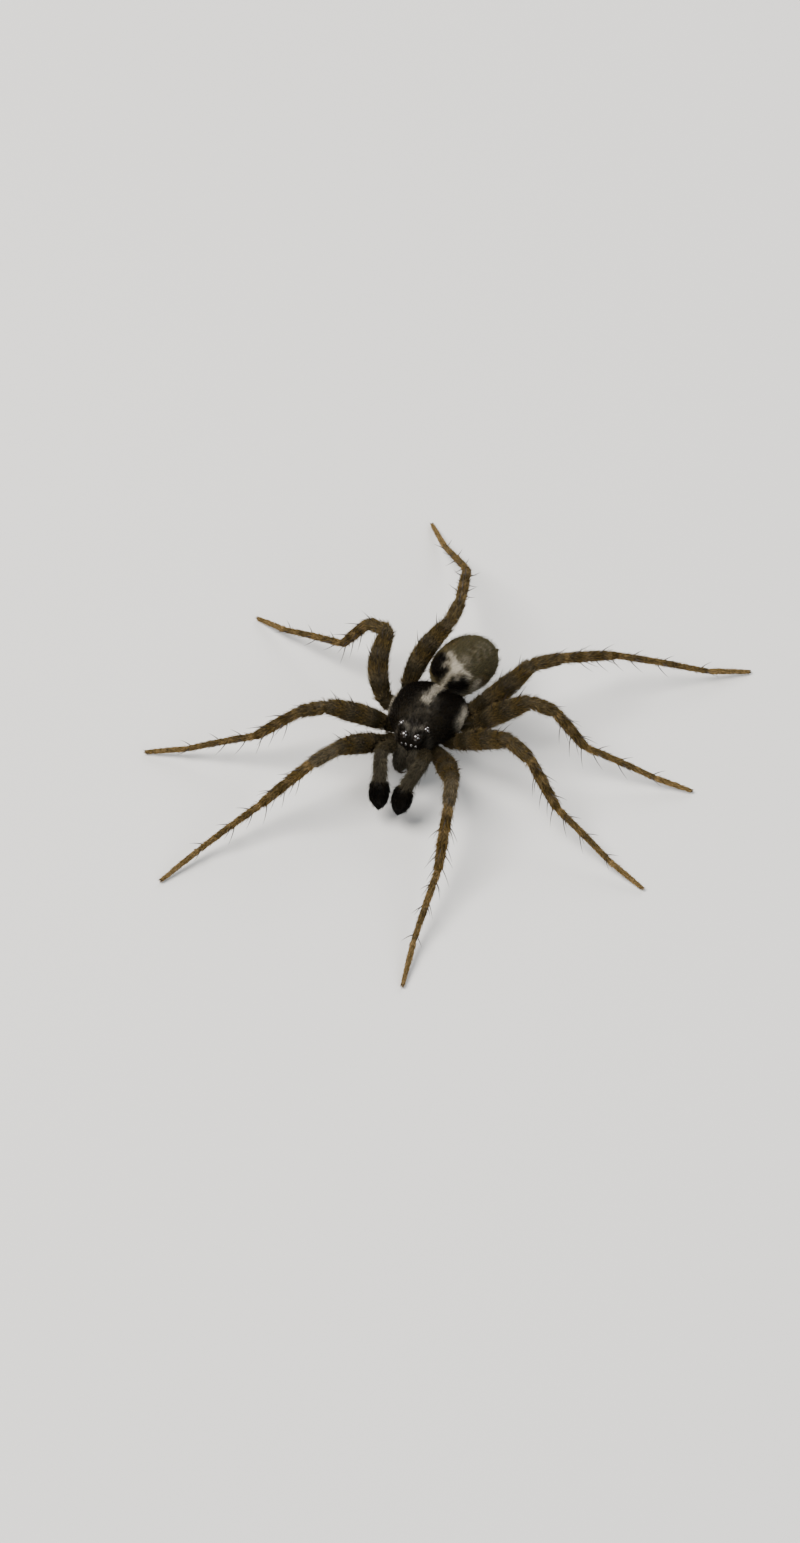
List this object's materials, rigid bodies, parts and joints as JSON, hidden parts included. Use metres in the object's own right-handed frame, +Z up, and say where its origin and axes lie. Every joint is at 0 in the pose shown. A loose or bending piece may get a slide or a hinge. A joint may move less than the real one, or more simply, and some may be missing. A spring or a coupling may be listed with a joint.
{
  "type": "wolf spider",
  "caption": "Life-size still model of an adult male wolf spider standing on its feet, with dark body, banded carapace and long spread legs.",
  "frame": {"origin": "on the floor, under the centre of the whole spider's bounding box", "axes": "+Z up; the spider faces -Y and its left side is +X, so the box is longest along Y and shortest along Z"},
  "size_m": [0.018, 0.0194, 0.0034],
  "materials": {
    "dark_coat": "black-brown cuticle under short fine hair",
    "grey_coat": "dark olive-grey cuticle under dense short hair, pale mark in front",
    "black_coat": "black cuticle under dense black hair",
    "brown_leg": "brown cuticle with darker rings under fine hair",
    "light_leg": "yellow-brown cuticle under fine hair",
    "eye": "glossy black lens"
  },
  "bodies": {
    "root": {"prosoma": "dark_coat", "abdomen": "grey_coat", "spinnerets": "dark_coat", "chelicera_left": "dark_coat", "eye_median_small_left": "eye", "eye_side_small_left": "eye", "eye_front_large_left": "eye", "eye_rear_large_left": "eye", "palp_left_femur": "dark_coat", "palp_left_tibia": "black_coat", "palp_left_tarsus": "black_coat", "leg_1_left_femur": "dark_coat", "leg_1_left_patella": "dark_coat", "leg_1_left_tibia": "brown_leg", "leg_1_left_metatarsus": "brown_leg", "leg_1_left_tarsus": "light_leg", "leg_2_left_femur": "dark_coat", "leg_2_left_patella": "dark_coat", "leg_2_left_tibia": "brown_leg", "leg_2_left_metatarsus": "brown_leg", "leg_2_left_tarsus": "light_leg", "leg_3_left_femur": "dark_coat", "leg_3_left_patella": "dark_coat", "leg_3_left_tibia": "brown_leg", "leg_3_left_metatarsus": "brown_leg", "leg_3_left_tarsus": "light_leg", "leg_4_left_femur": "dark_coat", "leg_4_left_patella": "dark_coat", "leg_4_left_tibia": "brown_leg", "leg_4_left_metatarsus": "brown_leg", "leg_4_left_tarsus": "light_leg", "chelicera_right": "dark_coat", "eye_median_small_right": "eye", "eye_side_small_right": "eye", "eye_front_large_right": "eye", "eye_rear_large_right": "eye", "palp_right_femur": "dark_coat", "palp_right_tibia": "black_coat", "palp_right_tarsus": "black_coat", "leg_1_right_femur": "dark_coat", "leg_1_right_patella": "dark_coat", "leg_1_right_tibia": "brown_leg", "leg_1_right_metatarsus": "brown_leg", "leg_1_right_tarsus": "light_leg", "leg_2_right_femur": "dark_coat", "leg_2_right_patella": "dark_coat", "leg_2_right_tibia": "brown_leg", "leg_2_right_metatarsus": "brown_leg", "leg_2_right_tarsus": "light_leg", "leg_3_right_femur": "dark_coat", "leg_3_right_patella": "dark_coat", "leg_3_right_tibia": "brown_leg", "leg_3_right_metatarsus": "brown_leg", "leg_3_right_tarsus": "light_leg", "leg_4_right_femur": "dark_coat", "leg_4_right_patella": "dark_coat", "leg_4_right_tibia": "brown_leg", "leg_4_right_metatarsus": "brown_leg", "leg_4_right_tarsus": "light_leg"}
  },
  "joints": []
}
